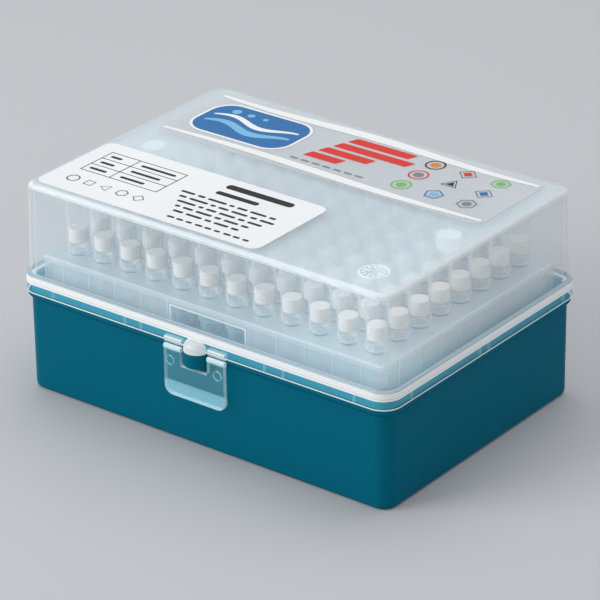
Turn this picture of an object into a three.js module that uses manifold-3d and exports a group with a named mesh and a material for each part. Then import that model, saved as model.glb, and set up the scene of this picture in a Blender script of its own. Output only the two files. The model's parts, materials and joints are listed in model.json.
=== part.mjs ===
// Box of 96 filter pipette tips: a moulded tray, a clear hinged lid with a fold-up latch,
// a tip rack inside, and the tips standing in it.
// Millimetres, +Z up. Origin: centre of the tray's underside. -Y is the latch side, +Y the hinge side.
// The sizes run from the tip grid outwards: tips, rack, tray, lid.
import * as THREE from 'three';
import { mergeVertices } from 'three/addons/utils/BufferGeometryUtils.js';
import Module from 'manifold-3d';

const wasm = await Module();
wasm.setup();

// ---- driving dimensions -------------------------------------------------------------------

const CLEARANCE = 0.3; // between parts that touch or run on each other

// tip grid
const PITCH = 9;
const COLUMNS = 12;
const ROWS = 8;

// tip and filter
const TIP_LENGTH = 51;
const TIP_RISE = 16; // tip above its seat on the deck
const TIP_TOP_RADIUS = 3.55;
const TIP_COLLAR_RADIUS = 3;
const TIP_BODY_RADIUS = 2.45;
const TIP_POINT_RADIUS = 0.45;
const TIP_BORE_RADIUS = 0.25;
const TIP_WALL = 0.55;
const COLLAR_STEP = 1.2; // cone under the collar, above the deck's hole
const FILTER_DEPTH = 8.8; // filter's top below the tip's rim
const FILTER_HEIGHT = 6;

// rack
const DECK_THICKNESS = 1.6;
const RACK_MARGIN = 6.9; // from the outer tip axes to the skirt's outside
const RACK_CORNER = 1.5;
const RACK_SKIRT = 16;
const RACK_WALL = 1.4;
const SOCKET_WALL = 0.7;
const SOCKET_DEPTH = 8;
const RIB_THICKNESS = 0.9;
const WINDOW_LENGTH = 25.2;
const WINDOW_HEIGHT = 9.5;
const WINDOW_DROP = 2.2; // below the deck's top

// tray
const POINT_GAP = 2.3; // tip points above the tray's floor
const END_GAP = 2.1; // between the rack's skirt and the tray's end walls
const SIDE_GAP = 1.9; // between the rack's skirt and the tray's long walls
const TRAY_FLOOR = 2;
const TRAY_WALL = 1.6;
const TRAY_INNER_CORNER = 2.6;
const TRAY_EDGE_RADIUS = 1.4;
const LEDGE_INSET = 0.45; // the ledge stands in from the lid's flange
const LEDGE_HEIGHT = 0.9;
const LEDGE_TAPER = 1.1;

// ribs that carry the rack inside the tray
const SUPPORT_THICKNESS = 2;
const SUPPORT_OVERLAP = 1.1; // how far a rib reaches under the rack's skirt
const SUPPORT_COLUMNS = [-5, 0, 5]; // in pitches from the middle, on the long walls
const SUPPORT_ROWS = [-2.5, 2.5]; // in pitches from the middle, on the end walls

// lid flange: the widest outline of the box
const FLANGE_BOTTOM = 29.1;
const FLANGE_HEIGHT = 5.3;
const FLANGE_EDGE = 0.7; // rounding of the flange's upper edge
const SKIRT_WALL = 1.1;
const SHOULDER = 0.9; // flange above the tray's rim

// lid above the flange
const LID_STEP = 1.1; // how far the lid wall stands in from the flange
const LID_DRAFT = 0.6;
const LID_WALL = 1.4;
const LID_ROOF = 1.5;
const LID_EDGE_RADIUS = 2;
const LID_INNER_RADIUS = 1.3;

// hold-down posts under the lid's roof
const POST_RADIUS = 3.3;
const POST_LENGTH = 3.5;
const POST_INSET = 0.5; // from the axes of the outer tips

// knob on the tray and its cover on the lid
const KNOB_HALF_WIDTH = 3.5;
const KNOB_REACH = 3.2; // in front of the flange's face
const KNOB_HEIGHT = 3.9;
const COVER_HEIGHT = 3.1;

// latch
const LATCH_WIDTH = 20.2;
const LATCH_LENGTH = 14.5;
const LATCH_THICKNESS = 1.45;
const LATCH_CORNER = 2.6;
const LATCH_GAP = 0.4; // between the tab and the tray's ledge
const GRIP_HEIGHT = 3.9;
const GRIP_EXTRA = 0.6;
const NOTCH_PLAY = 0.8; // on each side of the knob
const NOTCH_DROP = 1.1; // below the knob
const LUG_HEIGHT = 1.9;
const LUG_DEPTH = 1.1;

// hinge
const HINGE_X = 33;
const HINGE_GAP = 0.4; // between the knuckles and the flange's face
const HINGE_DROP = 1.5; // axis below the flange's bottom
const PIN_RADIUS = 1;
const CLIP_WALL = 0.6;
const CLIP_WIDTH = 7;
const HINGE_LUG_WIDTH = 2.4;

// label and printed film on the roof
const SHEET_THICKNESS = 0.2;
const LABEL_LENGTH = 74.5;
const LABEL_WIDTH = 31.2;
const LABEL_CORNER = 2.8;
const LABEL_END_MARGIN = 0.3; // from the flat of the roof
const LABEL_FRONT_MARGIN = 0.5;
const FILM_LENGTH = 108.2;
const FILM_WIDTH = 32;
const FILM_CORNER = 3.2;
const FILM_BACK_MARGIN = 1.4;

// how finely round forms are divided, and how far a cutting tool runs past a face
const CORNER_STEPS = 4;
const EDGE_STEPS = 3;
const ARC_STEPS = 8;
const POST_SIDES = 16;
const TIP_SIDES = 8;
const FUSED_TIP_SIDES = 6;
const MERGE_DISTANCE = 1e-4;
const PAST = 1;

// ---- sizes that follow from them ------------------------------------------------------------

const tipSeat = TRAY_FLOOR + POINT_GAP + TIP_LENGTH - TIP_RISE;
const tipTop = tipSeat + TIP_RISE;
const deckTop = tipSeat - CLEARANCE;
const deckMiddle = deckTop - DECK_THICKNESS / 2;
const deckUnderside = deckTop - DECK_THICKNESS;
const socketBottom = deckUnderside - SOCKET_DEPTH;
const rackBottom = deckTop - RACK_SKIRT;
const holeRadius = TIP_BODY_RADIUS + CLEARANCE;

const gridLength = (COLUMNS - 1) * PITCH;
const gridWidth = (ROWS - 1) * PITCH;
const rack = outline(gridLength + 2 * RACK_MARGIN, gridWidth + 2 * RACK_MARGIN, RACK_CORNER);
const trayInside = outline(rack.length + 2 * END_GAP, rack.width + 2 * SIDE_GAP, TRAY_INNER_CORNER);
const trayOutside = inset(trayInside, -TRAY_WALL);
const skirtInside = inset(trayOutside, -CLEARANCE);
const flange = inset(skirtInside, -SKIRT_WALL);
const lidFoot = inset(flange, LID_STEP);
const lidInside = inset(lidFoot, LID_WALL);

const flangeFace = flange.width / 2;
const flangeTop = FLANGE_BOTTOM + FLANGE_HEIGHT;
const skirtCeiling = flangeTop - SHOULDER;
const rimTop = skirtCeiling - CLEARANCE;
const ledgeTop = FLANGE_BOTTOM - CLEARANCE;
const postBottom = tipTop + CLEARANCE;
const ceiling = postBottom + POST_LENGTH;
const lidTop = ceiling + LID_ROOF;
const roofFlat = inset(lidFoot, LID_DRAFT + LID_EDGE_RADIUS);

const knobBottom = ledgeTop - KNOB_HEIGHT;
const notchWidth = 2 * (KNOB_HALF_WIDTH + NOTCH_PLAY);
const latchAxisY = -(flangeFace - LEDGE_INSET + LATCH_GAP + LATCH_THICKNESS / 2);
const latchAxisZ = ledgeTop - LATCH_THICKNESS / 2;

const knuckleRadius = PIN_RADIUS + CLEARANCE + CLIP_WALL;
const hingeAxisY = flangeFace + HINGE_GAP + knuckleRadius;
const hingeAxisZ = FLANGE_BOTTOM - HINGE_DROP;

// ---- helpers --------------------------------------------------------------------------------

// A rounded rectangle in plan.
function outline(length, width, corner) {
  return { length, width, corner };
}

function inset({ length, width, corner }, step) {
  return outline(length - 2 * step, width - 2 * step, corner - step);
}

function solid(geometry) {
  const bare = geometry.clone();
  bare.deleteAttribute('normal');
  bare.deleteAttribute('uv');
  const merged = mergeVertices(bare, MERGE_DISTANCE);
  const vertProperties = new Float32Array(merged.getAttribute('position').array);
  const triVerts = new Uint32Array(merged.getIndex().array);
  return new wasm.Manifold(new wasm.Mesh({ numProp: 3, vertProperties, triVerts }));
}

function join(solids) {
  return solids.reduce((sum, next) => sum.add(next));
}

function cut(body, tools) {
  return tools.reduce((rest, tool) => rest.subtract(tool), body);
}

function meshOf(name, body, material) {
  const { vertProperties, triVerts } = body.getMesh();
  const geometry = new THREE.BufferGeometry();
  geometry.setAttribute('position', new THREE.BufferAttribute(vertProperties, 3));
  geometry.setIndex(new THREE.BufferAttribute(triVerts, 1));
  geometry.computeVertexNormals();
  const mesh = new THREE.Mesh(geometry, material);
  mesh.name = name;
  return mesh;
}

function plastic(color, roughness, opacity = 1) {
  const transparent = opacity < 1;
  return new THREE.MeshStandardMaterial({ color, roughness, metalness: 0, opacity, transparent });
}

function roundedRectangle({ length, width, corner }) {
  const x = length / 2 - corner;
  const y = width / 2 - corner;
  const shape = new THREE.Shape();
  shape.absarc(x, y, corner, 0, 0.5 * Math.PI);
  shape.absarc(-x, y, corner, 0.5 * Math.PI, Math.PI);
  shape.absarc(-x, -y, corner, Math.PI, 1.5 * Math.PI);
  shape.absarc(x, -y, corner, 1.5 * Math.PI, 2 * Math.PI);
  return shape;
}

// An upright block over an outline, from one height to another.
function block(plan, low, high) {
  const settings = { depth: high - low, bevelEnabled: false, curveSegments: CORNER_STEPS };
  return new THREE.ExtrudeGeometry(roundedRectangle(plan), settings).translate(0, 0, low);
}

// The same block with its upper and lower edges rounded.
function softBlock(plan, low, high, radius) {
  const settings = {
    depth: high - low - 2 * radius,
    bevelThickness: radius,
    bevelSize: radius,
    bevelOffset: -radius,
    bevelSegments: EDGE_STEPS,
    curveSegments: CORNER_STEPS,
  };
  return new THREE.ExtrudeGeometry(roundedRectangle(plan), settings).translate(0, 0, low + radius);
}

// Moves a block's outline inwards with height, as a mould's draft does.
function draft(geometry, from, to, amount) {
  const place = geometry.getAttribute('position');
  for (let i = 0; i < place.count; i += 1) {
    const shift = (amount * (place.getZ(i) - from)) / (to - from);
    place.setX(i, place.getX(i) - Math.sign(place.getX(i)) * shift);
    place.setY(i, place.getY(i) - Math.sign(place.getY(i)) * shift);
  }
  return geometry;
}

// A box between any two opposite corners.
function box(corner, opposite) {
  const size = opposite.map((value, i) => Math.abs(value - corner[i]));
  const middle = opposite.map((value, i) => (value + corner[i]) / 2);
  return solid(new THREE.BoxGeometry(...size).translate(...middle));
}

// Extrudes a Y-Z profile along X, centred on x.
function alongX(shape, x, width) {
  const settings = { depth: width, bevelEnabled: false, curveSegments: ARC_STEPS };
  const geometry = new THREE.ExtrudeGeometry(shape, settings).translate(0, 0, x - width / 2);
  const turn = new THREE.Matrix4().makeBasis(
    new THREE.Vector3(0, 1, 0),
    new THREE.Vector3(0, 0, 1),
    new THREE.Vector3(1, 0, 0),
  );
  return solid(geometry.applyMatrix4(turn));
}

function rodAlongX(radius, y, z, x, width) {
  const circle = new THREE.Shape();
  circle.absarc(y, z, radius, 0, 2 * Math.PI);
  return alongX(circle, x, width);
}

function upright(radius, x, y, low, high, sides) {
  const geometry = new THREE.CylinderGeometry(radius, radius, high - low, sides).rotateX(Math.PI / 2);
  return solid(geometry.translate(x, y, (low + high) / 2));
}

// ---- tip grid -------------------------------------------------------------------------------

// Rows run from the hinge side to the latch side, columns from -X to +X.
function gridPlaces() {
  const places = [];
  for (let row = 0; row < ROWS; row += 1) {
    for (let column = 0; column < COLUMNS; column += 1) {
      const outerRow = row === 0 || row === ROWS - 1;
      const outerColumn = column === 0 || column === COLUMNS - 1;
      const x = column * PITCH - gridLength / 2;
      const y = gridWidth / 2 - row * PITCH;
      places.push({ row, column, outerRow, outerColumn, x, y });
    }
  }
  return places;
}

const outerPlaces = gridPlaces().filter(({ outerRow, outerColumn }) => outerRow || outerColumn);
const innerPlaces = gridPlaces().filter(({ outerRow, outerColumn }) => !outerRow && !outerColumn);

// ---- tray -----------------------------------------------------------------------------------

function trayShell() {
  const body = solid(softBlock(trayOutside, 0, rimTop + TRAY_EDGE_RADIUS, TRAY_EDGE_RADIUS));
  const trimmed = body.intersect(solid(block(trayOutside, 0, rimTop)));
  return trimmed.subtract(solid(block(trayInside, TRAY_FLOOR, rimTop + PAST)));
}

// The outward lip that the lid's flange stands over, tapered into the wall below.
function trayLedge() {
  const lipPlan = inset(flange, LEDGE_INSET);
  const low = ledgeTop - LEDGE_HEIGHT;
  const foot = low - LEDGE_TAPER;
  const overhang = (lipPlan.width - trayOutside.width) / 2;
  const lip = solid(block(lipPlan, low, ledgeTop));
  const taper = solid(draft(block(lipPlan, foot, low), low, foot, overhang));
  const inside = solid(block(inset(trayOutside, TRAY_WALL / 2), foot - PAST, ledgeTop + PAST));
  return lip.add(taper).subtract(inside);
}

// Upright ribs on the inner walls, reaching under the rack's skirt.
function supportRibs() {
  const top = rackBottom - CLEARANCE;
  const half = SUPPORT_THICKNESS / 2;
  const low = TRAY_FLOOR / 2;
  const ribs = [];
  for (const side of [-1, 1]) {
    const yWall = (side * (trayInside.width + TRAY_WALL)) / 2;
    const yEnd = side * (rack.width / 2 - SUPPORT_OVERLAP);
    for (const x of SUPPORT_COLUMNS.map((pitches) => pitches * PITCH)) {
      ribs.push(box([x - half, yWall, low], [x + half, yEnd, top]));
    }
    const xWall = (side * (trayInside.length + TRAY_WALL)) / 2;
    const xEnd = side * (rack.length / 2 - SUPPORT_OVERLAP);
    for (const y of SUPPORT_ROWS.map((pitches) => pitches * PITCH)) {
      ribs.push(box([xWall, y - half, low], [xEnd, y + half, top]));
    }
  }
  return join(ribs);
}

// The rounded button on the front that the latch's notch snaps over.
function knob() {
  const wall = -(trayOutside.width - TRAY_WALL) / 2;
  const shape = new THREE.Shape();
  shape.moveTo(KNOB_HALF_WIDTH, wall);
  shape.lineTo(-KNOB_HALF_WIDTH, wall);
  shape.absellipse(0, -flangeFace, KNOB_HALF_WIDTH, KNOB_REACH, Math.PI, 2 * Math.PI);
  const settings = { depth: KNOB_HEIGHT, bevelEnabled: false, curveSegments: ARC_STEPS };
  return solid(new THREE.ExtrudeGeometry(shape, settings).translate(0, 0, knobBottom));
}

// Two lugs with a pin between them, near each end of the back wall.
function hingeLugs() {
  const wall = (trayOutside.width - TRAY_WALL) / 2;
  const profile = new THREE.Shape();
  profile.moveTo(wall, hingeAxisZ - 2 * knuckleRadius);
  profile.lineTo(hingeAxisY, hingeAxisZ - knuckleRadius);
  profile.absarc(hingeAxisY, hingeAxisZ, knuckleRadius, -0.5 * Math.PI, 0.5 * Math.PI);
  profile.lineTo(hingeAxisY - PIN_RADIUS, hingeAxisZ + knuckleRadius);
  profile.lineTo(flangeFace, ledgeTop);
  profile.lineTo(wall, ledgeTop);
  const lugStep = (CLIP_WIDTH + HINGE_LUG_WIDTH) / 2 + CLEARANCE;
  const solids = [];
  for (const x of [-HINGE_X, HINGE_X]) {
    solids.push(alongX(profile, x - lugStep, HINGE_LUG_WIDTH));
    solids.push(alongX(profile, x + lugStep, HINGE_LUG_WIDTH));
    solids.push(rodAlongX(PIN_RADIUS, hingeAxisY, hingeAxisZ, x, 2 * lugStep));
  }
  return join(solids);
}

function makeTray() {
  return join([trayShell(), trayLedge(), supportRibs(), knob(), hingeLugs()]);
}

// ---- lid ------------------------------------------------------------------------------------

function lidShell() {
  const rim = solid(softBlock(flange, FLANGE_BOTTOM - FLANGE_EDGE, flangeTop, FLANGE_EDGE))
    .intersect(solid(block(flange, FLANGE_BOTTOM, flangeTop)));
  const wall = softBlock(lidFoot, flangeTop - 2 * LID_EDGE_RADIUS, lidTop, LID_EDGE_RADIUS);
  const upper = solid(draft(wall, flangeTop, lidTop, LID_DRAFT))
    .intersect(solid(block(lidFoot, skirtCeiling, lidTop)));
  const room = softBlock(lidInside, FLANGE_BOTTOM - 2 * LID_INNER_RADIUS, ceiling, LID_INNER_RADIUS);
  return cut(rim.add(upper), [
    solid(block(skirtInside, FLANGE_BOTTOM - PAST, skirtCeiling)),
    solid(draft(room, flangeTop, lidTop, LID_DRAFT)),
  ]);
}

// Posts that stop just above the tips, so that no tip can jump out of the rack.
function holdDownPosts() {
  const x = gridLength / 2 - POST_INSET;
  const high = ceiling + LID_ROOF / 2;
  return join([-x, x].map((place) => upright(POST_RADIUS, place, 0, postBottom, high, POST_SIDES)));
}

// A clear bulge of the flange over the knob.
function knobCover() {
  const dome = new THREE.SphereGeometry(1, 2 * ARC_STEPS, ARC_STEPS).rotateX(Math.PI / 2);
  dome.scale(KNOB_HALF_WIDTH, KNOB_REACH, COVER_HEIGHT).translate(0, -flangeFace, FLANGE_BOTTOM);
  const keep = box(
    [-KNOB_HALF_WIDTH - PAST, -flangeFace - KNOB_REACH - PAST, FLANGE_BOTTOM],
    [KNOB_HALF_WIDTH + PAST, -flangeFace + SKIRT_WALL / 2, flangeTop],
  );
  return solid(dome).intersect(keep);
}

// Beads on the flange's face that the latch hangs from, on both sides of its notch.
function latchLugs() {
  const back = -flangeFace + SKIRT_WALL / 2;
  const radius = LUG_HEIGHT / 2;
  const middle = radius - flangeFace - LUG_DEPTH;
  const profile = new THREE.Shape();
  profile.moveTo(back, FLANGE_BOTTOM);
  profile.lineTo(back, FLANGE_BOTTOM + LUG_HEIGHT);
  profile.absarc(middle, FLANGE_BOTTOM + radius, radius, 0.5 * Math.PI, 1.5 * Math.PI);
  const width = (LATCH_WIDTH - notchWidth) / 2;
  const x = (LATCH_WIDTH + notchWidth) / 4;
  return alongX(profile, -x, width).add(alongX(profile, x, width));
}

// Arms with an open clip that snap over the tray's hinge pins.
function hingeClips() {
  const wall = flangeFace - SKIRT_WALL / 2;
  const arm = new THREE.Shape();
  arm.moveTo(wall, FLANGE_BOTTOM);
  arm.lineTo(hingeAxisY - knuckleRadius, hingeAxisZ);
  arm.absarc(hingeAxisY, hingeAxisZ, knuckleRadius, Math.PI, 2.5 * Math.PI);
  arm.lineTo(wall, flangeTop - FLANGE_EDGE);
  const clips = [];
  for (const x of [-HINGE_X, HINGE_X]) {
    const mouth = box(
      [x - CLIP_WIDTH, hingeAxisY - PIN_RADIUS / 2, hingeAxisZ - 2 * knuckleRadius],
      [x + CLIP_WIDTH, hingeAxisY + PIN_RADIUS / 2, hingeAxisZ],
    );
    const bore = rodAlongX(PIN_RADIUS + CLEARANCE, hingeAxisY, hingeAxisZ, x, CLIP_WIDTH + PAST);
    clips.push(cut(alongX(arm, x, CLIP_WIDTH), [bore, mouth]));
  }
  return join(clips);
}

function makeLid() {
  return join([lidShell(), holdDownPosts(), knobCover(), latchLugs(), hingeClips()]);
}

// ---- latch ----------------------------------------------------------------------------------

// Drawn about its own hinge axis: the tab hangs down from it and turns outwards.
function makeLatch() {
  const half = LATCH_WIDTH / 2;
  const notch = notchWidth / 2;
  const thick = LATCH_THICKNESS / 2;
  const bottom = thick - LATCH_LENGTH;
  const notchBottom = knobBottom - NOTCH_DROP - latchAxisZ;
  const front = new THREE.Shape();
  front.moveTo(-half, 0);
  front.lineTo(-half, bottom + LATCH_CORNER);
  front.absarc(-half + LATCH_CORNER, bottom + LATCH_CORNER, LATCH_CORNER, Math.PI, 1.5 * Math.PI);
  front.absarc(half - LATCH_CORNER, bottom + LATCH_CORNER, LATCH_CORNER, 1.5 * Math.PI, 2 * Math.PI);
  front.lineTo(half, 0);
  front.lineTo(notch, 0);
  front.lineTo(notch, notchBottom);
  front.lineTo(-notch, notchBottom);
  front.lineTo(-notch, 0);
  const settings = { depth: LATCH_THICKNESS, bevelEnabled: false, curveSegments: CORNER_STEPS };
  const tab = new THREE.ExtrudeGeometry(front, settings).rotateX(Math.PI / 2).translate(0, thick, 0);
  const grip = box(
    [-half + LATCH_CORNER, 0, bottom],
    [half - LATCH_CORNER, thick + GRIP_EXTRA, bottom + GRIP_HEIGHT],
  );
  const beads = [-1, 1].map((side) => rodAlongX(thick, 0, 0, (side * (half + notch)) / 2, half - notch));
  return join([solid(tab), grip, ...beads]);
}

// ---- tips and rack --------------------------------------------------------------------------

// Tip and filter, drawn from the seat: an open socket above the filter, a fine bore below it.
// The tips that are fused to the rack are solid below their filters.
function makeTip(sides, bored) {
  const filter = TIP_RISE - FILTER_DEPTH;
  const point = TIP_RISE - TIP_LENGTH;
  const bore = [
    [0, filter - FILTER_HEIGHT],
    [TIP_BODY_RADIUS - TIP_WALL, filter - FILTER_HEIGHT],
    [TIP_BORE_RADIUS, point],
  ];
  const profile = [
    ...(bored ? bore : [[0, point]]),
    [TIP_POINT_RADIUS, point],
    [TIP_BODY_RADIUS, 0],
    [TIP_COLLAR_RADIUS, COLLAR_STEP],
    [TIP_TOP_RADIUS, TIP_RISE],
    [TIP_TOP_RADIUS - TIP_WALL, TIP_RISE],
    [TIP_COLLAR_RADIUS - TIP_WALL, filter],
    [0, filter],
  ];
  const points = profile.map(([radius, height]) => new THREE.Vector2(radius, height));
  return solid(new THREE.LatheGeometry(points, sides).rotateX(Math.PI / 2));
}

function rackShell() {
  const inside = solid(block(inset(rack, RACK_WALL), rackBottom - PAST, deckUnderside));
  return solid(block(rack, rackBottom, deckTop)).subtract(inside);
}

// Short ribs from the skirt to the outer sockets.
function rackRibs() {
  const half = RIB_THICKNESS / 2;
  const ribs = [];
  for (const { outerRow, outerColumn, x, y } of outerPlaces) {
    if (outerRow) {
      const wall = (Math.sign(y) * (rack.width - RACK_WALL)) / 2;
      ribs.push(box([x - half, y, socketBottom], [x + half, wall, deckMiddle]));
    }
    if (outerColumn) {
      const wall = (Math.sign(x) * (rack.length - RACK_WALL)) / 2;
      ribs.push(box([x, y - half, socketBottom], [wall, y + half, deckMiddle]));
    }
  }
  return join(ribs);
}

// One opening in the middle of each long skirt.
function windows() {
  const top = deckTop - WINDOW_DROP;
  const sockets = gridWidth / 2 + holeRadius + SOCKET_WALL;
  const outside = rack.width / 2 + PAST;
  const half = WINDOW_LENGTH / 2;
  const bottom = top - WINDOW_HEIGHT;
  return [-1, 1].map((side) => box([-half, side * sockets, bottom], [half, side * outside, top]));
}

// The rack, with the tips of the inner rows fused to it.
function makeRack() {
  const socket = (radius, low, high) => ({ x, y }) => upright(radius, x, y, low, high, TIP_SIDES);
  const sockets = outerPlaces.map(socket(holeRadius + SOCKET_WALL, socketBottom, deckMiddle));
  const bores = outerPlaces.map(socket(holeRadius, socketBottom - PAST, deckTop + PAST));
  const frame = cut(rackShell().add(rackRibs()), windows());
  const drilled = cut(join([frame, ...sockets]), bores);
  const tip = makeTip(FUSED_TIP_SIDES, false);
  return join([drilled, ...innerPlaces.map(({ x, y }) => tip.translate([x, y, tipSeat]))]);
}

// ---- label and film -------------------------------------------------------------------------

function sheet(length, width, corner) {
  return solid(block(outline(length, width, corner), 0, SHEET_THICKNESS));
}

// ---- the whole box --------------------------------------------------------------------------

const teal = plastic(0x006a80, 0.45);
const clear = plastic(0xdfe8ec, 0.35, 0.45);
const milky = plastic(0xd3dfe4, 0.5);
const tipPlastic = plastic(0xe4e9ea, 0.4, 0.6);
const paper = plastic(0xf7f8f8, 0.6);
const printed = plastic(0xb9c6cb, 0.5);

const boxOfTips = new THREE.Group();
boxOfTips.add(meshOf('tray', makeTray(), teal));
boxOfTips.add(meshOf('lid', makeLid(), clear));

const latch = meshOf('latch', makeLatch(), clear.clone());
latch.position.set(0, latchAxisY, latchAxisZ);
boxOfTips.add(latch);

boxOfTips.add(meshOf('rack', makeRack(), milky));

const tips = new THREE.Group();
tips.position.z = tipSeat;
const rowLetters = 'ABCDEFGH';
for (const { row, column, x, y } of outerPlaces) {
  const tip = meshOf(`tip_${rowLetters[row]}${column + 1}`, makeTip(TIP_SIDES, true), tipPlastic);
  tip.position.set(x, y, 0);
  tips.add(tip);
}
boxOfTips.add(tips);

const label = meshOf('label', sheet(LABEL_LENGTH, LABEL_WIDTH, LABEL_CORNER), paper);
const labelX = (LABEL_LENGTH - roofFlat.length) / 2 + LABEL_END_MARGIN;
const labelY = (LABEL_WIDTH - roofFlat.width) / 2 + LABEL_FRONT_MARGIN;
label.position.set(labelX, labelY, lidTop);
boxOfTips.add(label);

const film = meshOf('printed_film', sheet(FILM_LENGTH, FILM_WIDTH, FILM_CORNER), printed);
const filmY = (roofFlat.width - FILM_WIDTH) / 2 - FILM_BACK_MARGIN;
film.position.set(0, filmY, lidTop);
boxOfTips.add(film);

export default boxOfTips;
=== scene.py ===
import json
import math

import bmesh
import bpy
from mathutils import Matrix, Vector


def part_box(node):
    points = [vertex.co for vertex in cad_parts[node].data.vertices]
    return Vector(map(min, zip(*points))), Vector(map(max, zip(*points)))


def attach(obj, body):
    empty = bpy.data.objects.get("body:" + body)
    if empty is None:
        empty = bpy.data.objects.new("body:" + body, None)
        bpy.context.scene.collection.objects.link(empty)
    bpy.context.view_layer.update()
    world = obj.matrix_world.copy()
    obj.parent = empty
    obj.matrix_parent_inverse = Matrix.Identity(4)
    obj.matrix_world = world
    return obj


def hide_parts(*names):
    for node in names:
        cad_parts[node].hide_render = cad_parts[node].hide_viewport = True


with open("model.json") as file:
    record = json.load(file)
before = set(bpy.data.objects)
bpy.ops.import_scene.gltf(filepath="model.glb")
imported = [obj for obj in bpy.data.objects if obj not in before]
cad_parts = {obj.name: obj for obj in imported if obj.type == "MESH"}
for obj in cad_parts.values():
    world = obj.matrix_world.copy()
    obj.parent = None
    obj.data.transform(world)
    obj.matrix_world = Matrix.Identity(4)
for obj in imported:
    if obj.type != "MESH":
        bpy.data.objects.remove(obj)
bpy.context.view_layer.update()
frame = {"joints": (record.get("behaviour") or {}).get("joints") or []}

# ---- Camera ----
# A long lens from the front right, looking down on the box from a little above it. The camera
# is tilted by under a degree.

MM = 0.001
CAMERA_PLACE = (501.3, -643.2, 424.5)
CAMERA_TURN, CAMERA_DOWN, CAMERA_TILT = 37.904, 26.019, -0.816


def link(obj):
    bpy.context.scene.collection.objects.link(obj)
    return obj


camera_data = bpy.data.cameras.new("camera")
camera_data.sensor_width = 36
camera_data.lens = 203.37
camera_data.clip_end = 20
camera = link(bpy.data.objects.new("camera", camera_data))
camera.matrix_world = (
    Matrix.Translation(Vector(CAMERA_PLACE) * MM)
    @ Matrix.Rotation(math.radians(CAMERA_TURN), 4, "Z")
    @ Matrix.Rotation(math.radians(90 - CAMERA_DOWN), 4, "X")
    @ Matrix.Rotation(math.radians(CAMERA_TILT), 4, "Z")
)
scene = bpy.context.scene
scene.camera = camera

# ---- Table and light ----
# A pale matt table that runs out of view, a large soft box above, a smaller one to the front
# left, a weak one to the right, and an even pale surround that fills the shadows.

TABLE_SIZE = 6
TABLE_COLOUR = (0.56, 0.57, 0.59, 1)
SURROUND_COLOUR = (0.96, 0.98, 1, 1)
SURROUND_STRENGTH = 0.46
LIT_PLACE = (0, 0, 0.03)


def new_material(name):
    """A node material: the material, its node tree and its shader."""
    material = bpy.data.materials.new(name)
    material.use_nodes = True
    return material, material.node_tree, material.node_tree.nodes["Principled BSDF"]


table_matt, tree, shader = new_material("table matt")
shader.inputs["Base Color"].default_value = TABLE_COLOUR
shader.inputs["Roughness"].default_value = 0.8
shader.inputs["Specular IOR Level"].default_value = 0.2

bm = bmesh.new()
bmesh.ops.create_grid(bm, x_segments=1, y_segments=1, size=TABLE_SIZE / 2)
table_mesh = bpy.data.meshes.new("table")
bm.to_mesh(table_mesh)
bm.free()
table_mesh.materials.append(table_matt)
link(bpy.data.objects.new("table", table_mesh))

surround = bpy.data.worlds.new("surround")
surround.use_nodes = True
surround.node_tree.nodes["Background"].inputs["Color"].default_value = SURROUND_COLOUR
surround.node_tree.nodes["Background"].inputs["Strength"].default_value = SURROUND_STRENGTH
scene.world = surround


def soft_box(name, place, size, power):
    """A rectangular lamp that points at the middle of the box, with its power in watts."""
    lamp = bpy.data.lights.new(name, "AREA")
    lamp.shape = "RECTANGLE"
    lamp.size, lamp.size_y = size
    lamp.energy = power
    holder = link(bpy.data.objects.new(name, lamp))
    holder.location = place
    beam = Vector(LIT_PLACE) - Vector(place)
    holder.rotation_euler = beam.to_track_quat("-Z", "Y").to_euler()


soft_box("soft box above", (-0.1, 0.25, 0.75), (0.9, 0.7), 2.6)
soft_box("soft box front left", (-0.55, -0.75, 0.45), (0.6, 0.6), 5.6)
soft_box("soft box right", (0.9, -0.2, 0.5), (0.5, 0.5), 0.8)

scene.view_settings.view_transform = "Standard"
scene.cycles.max_bounces = 12
scene.cycles.transparent_max_bounces = 48

# ---- Tray ----
# One teal polypropylene moulding: a flat floor, drafted walls with rounded corners, a ledge
# under the lid's flange, a knob for the latch, ribs that carry the rack, and hinge pins.

CLEARANCE = 0.3 * MM
CORNER_FACES = 10
SHARP_ANGLE = 32
SOFT, CRISP = 0.1 * MM, 0.05 * MM  # how softly the ends of a mask fade
FLANGE_CORNER = 5.6 * MM
FLANGE_HEIGHT = 5.3 * MM
RACK_TO_FLANGE = 4.9 * MM

lid_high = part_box("lid")[1]
tray_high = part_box("tray")[1]
rack_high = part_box("rack")[1]
latch_low, latch_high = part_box("latch")

half_length = lid_high.x
half_width = rack_high.y + RACK_TO_FLANGE
ledge_top = latch_high.z
flange_bottom = ledge_top + CLEARANCE
flange_top = flange_bottom + FLANGE_HEIGHT
rim_top = tray_high.z


def arc(centre, radius, start, end, steps=5):
    """Points on an arc, from one angle in degrees to another."""
    turns = [math.radians(start + (end - start) * i / steps) for i in range(steps + 1)]
    return [(centre[0] + radius * math.cos(t), centre[1] + radius * math.sin(t)) for t in turns]


def circle(centre, radius, sides=24):
    """Points all the way round, without the first one again."""
    return arc(centre, radius, 0, 360 - 360 / sides, sides - 1)


def new_verts(made):
    return [item for item in made["geom"] if isinstance(item, bmesh.types.BMVert)]


def edges_between(verts):
    """The edges that have both their ends among these vertices."""
    chosen = set(verts)
    return list({edge for vert in chosen for edge in vert.link_edges if set(edge.verts) <= chosen})


def round_edges(bm, edges, radius, segments=3):
    bmesh.ops.bevel(bm, geom=edges, offset=radius, offset_type="OFFSET", segments=segments,
                    profile=0.5, affect="EDGES", material=-1)


def round_corners(bm, verts, radius, segments=8):
    """Rounds a flat face at some of its corners: the vertices of the arcs."""
    return bmesh.ops.bevel(bm, geom=verts, offset=radius, offset_type="OFFSET", segments=segments,
                           profile=0.5, affect="VERTICES", material=-1)["verts"]


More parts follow.
